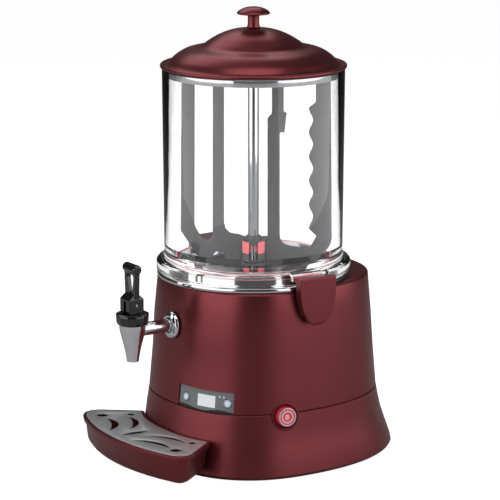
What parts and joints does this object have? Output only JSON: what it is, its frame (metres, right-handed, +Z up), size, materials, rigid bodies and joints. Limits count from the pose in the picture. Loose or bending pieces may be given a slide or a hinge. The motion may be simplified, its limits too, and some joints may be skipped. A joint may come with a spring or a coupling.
{
  "type": "heated drink and sauce dispenser",
  "caption": "Countertop heated dispenser: flared housing, clear jar with agitator paddle, domed lid, self-closing front tap and a removable drip tray with grille.",
  "frame": {"origin": "on the floor under the centre of the footprint, between the tray's front lip and the housing's back", "axes": "+Z up, the tap and the drip tray face -Y, +X is the machine's right as seen from behind the tap; the jar's axis stands at y = +0.01175"},
  "size_m": [0.284, 0.4034, 0.58],
  "materials": {
    "burgundy_abs": "satin moulded ABS, dark burgundy",
    "stainless": "brushed stainless sheet",
    "polished_steel": "polished stainless",
    "chrome_plate": "bright chrome plating",
    "brass": "turned brass",
    "black_gloss": "gloss black moulding",
    "paddle_nylon": "dark grey filled nylon",
    "panel_film": "grey printed fascia",
    "display": "pale display window",
    "button_plate": "plated push button",
    "board": "coated circuit board",
    "red_silicone": "red silicone",
    "red_lens": "lit red translucent lens",
    "rubber": "matt black rubber",
    "clear_pc": "clear polycarbonate",
    "white_nylon": "natural nylon"
  },
  "bodies": {
    "base": {"base_plate": "stainless", "base_screw_1": "stainless", "base_screw_2": "stainless", "base_screw_3": "stainless", "base_screw_4": "stainless", "base_skirt": "burgundy_abs", "bush_lower": "white_nylon", "bush_upper": "white_nylon", "cable_gland": "black_gloss", "column_nut": "paddle_nylon", "column_seal": "red_silicone", "column_tube": "polished_steel", "control_board": "board", "control_panel": "panel_film", "display_window": "display", "foot_1": "rubber", "foot_2": "rubber", "foot_3": "rubber", "foot_4": "rubber", "gearbox_case": "paddle_nylon", "gearbox_cover": "paddle_nylon", "heater_ring": "stainless", "housing_shell": "burgundy_abs", "jar": "clear_pc", "jar_seal": "red_silicone", "latch_pin_left": "stainless", "latch_pin_right": "stainless", "motor_bracket": "stainless", "motor_can": "stainless", "outlet_elbow": "stainless", "product_pan": "polished_steel", "switch_bezel": "burgundy_abs", "switch_body": "black_gloss", "tap_body": "chrome_plate", "tap_bonnet": "black_gloss", "tap_flange": "chrome_plate", "tap_nut": "brass", "temperature_probe": "brass", "thermostat": "white_nylon", "water_tank": "stainless"},
    "lid": {"lid_shell": "burgundy_abs", "lid_knob": "burgundy_abs", "lid_knob_screw": "stainless", "lid_collar": "polished_steel"},
    "agitator": {"drive_shaft": "stainless", "paddle": "paddle_nylon", "output_gear": "white_nylon"},
    "pinion_shaft": {"pinion": "brass"},
    "tap_valve": {"tap_stem": "stainless", "tap_seat_cup": "red_silicone"},
    "tap_lever": {"tap_handle": "black_gloss", "tap_pin": "stainless"},
    "tray": {"drip_tray": "burgundy_abs"},
    "grille": {"drip_grille": "stainless"},
    "right_latch": {"latch_right": "burgundy_abs"},
    "left_latch": {"latch_left": "burgundy_abs"},
    "power_cap": {"switch_cap": "red_lens"},
    "left_button": {"button_left": "button_plate"},
    "right_button": {"button_right": "button_plate"}
  },
  "joints": [
    {"name": "lid_lift", "type": "slide", "parent": "base", "child": "lid", "axis": [0, 0, 1], "range_m": [0, 0.12]},
    {"name": "paddle_spin", "type": "hinge", "parent": "base", "child": "agitator", "pos_m": [0, 0.01175, 0.3], "axis": [0, 0, 1], "continuous": true},
    {"name": "pinion_spin", "type": "hinge", "parent": "base", "child": "pinion_shaft", "pos_m": [0, 0.04775, 0.126], "axis": [0, 0, 1], "continuous": true},
    {"name": "tap_valve_lift", "type": "slide", "parent": "base", "child": "tap_valve", "axis": [0, 0, 1], "range_m": [0, 0.0041], "stiffness_N_per_m": 20, "springref_m": 0.0184},
    {"name": "tap_handle_tilt", "type": "hinge", "parent": "tap_valve", "child": "tap_lever", "pos_m": [0, -0.16725, 0.2181], "axis": [1, 0, 0], "range_deg": [0, 50], "stiffness_Nm_per_rad": 0.35, "springref_deg": -8.59},
    {"name": "tray_slide", "type": "slide", "parent": "base", "child": "tray", "axis": [0, -1, 0], "range_m": [0, 0.1]},
    {"name": "grille_lift", "type": "slide", "parent": "tray", "child": "grille", "axis": [0, 0, 1], "range_m": [0, 0.04]},
    {"name": "latch_right_swing", "type": "hinge", "parent": "base", "child": "right_latch", "pos_m": [0.1338, 0.02, 0.212], "axis": [0, 1, 0], "range_deg": [0, 20]},
    {"name": "latch_left_swing", "type": "hinge", "parent": "base", "child": "left_latch", "pos_m": [-0.1338, 0.02, 0.212], "axis": [0, -1, 0], "range_deg": [0, 20]},
    {"name": "switch_press", "type": "slide", "parent": "base", "child": "power_cap", "axis": [-0.9822, 0.1655, -0.0885], "range_m": [0, 0.0025], "stiffness_N_per_m": 400},
    {"name": "button_left_press", "type": "slide", "parent": "base", "child": "left_button", "axis": [-0.1576, 0.9826, -0.0988], "range_m": [0, 0.001], "stiffness_N_per_m": 400},
    {"name": "button_right_press", "type": "slide", "parent": "base", "child": "right_button", "axis": [-0.6487, 0.7564, -0.0843], "range_m": [0, 0.001], "stiffness_N_per_m": 400}
  ],
  "couplings": [
    {"joint": "pinion_spin", "follows": "paddle_spin", "ratio": -2},
    {"joint": "tap_valve_lift", "follows": "tap_handle_tilt", "m_per_rad": 0.00458}
  ]
}
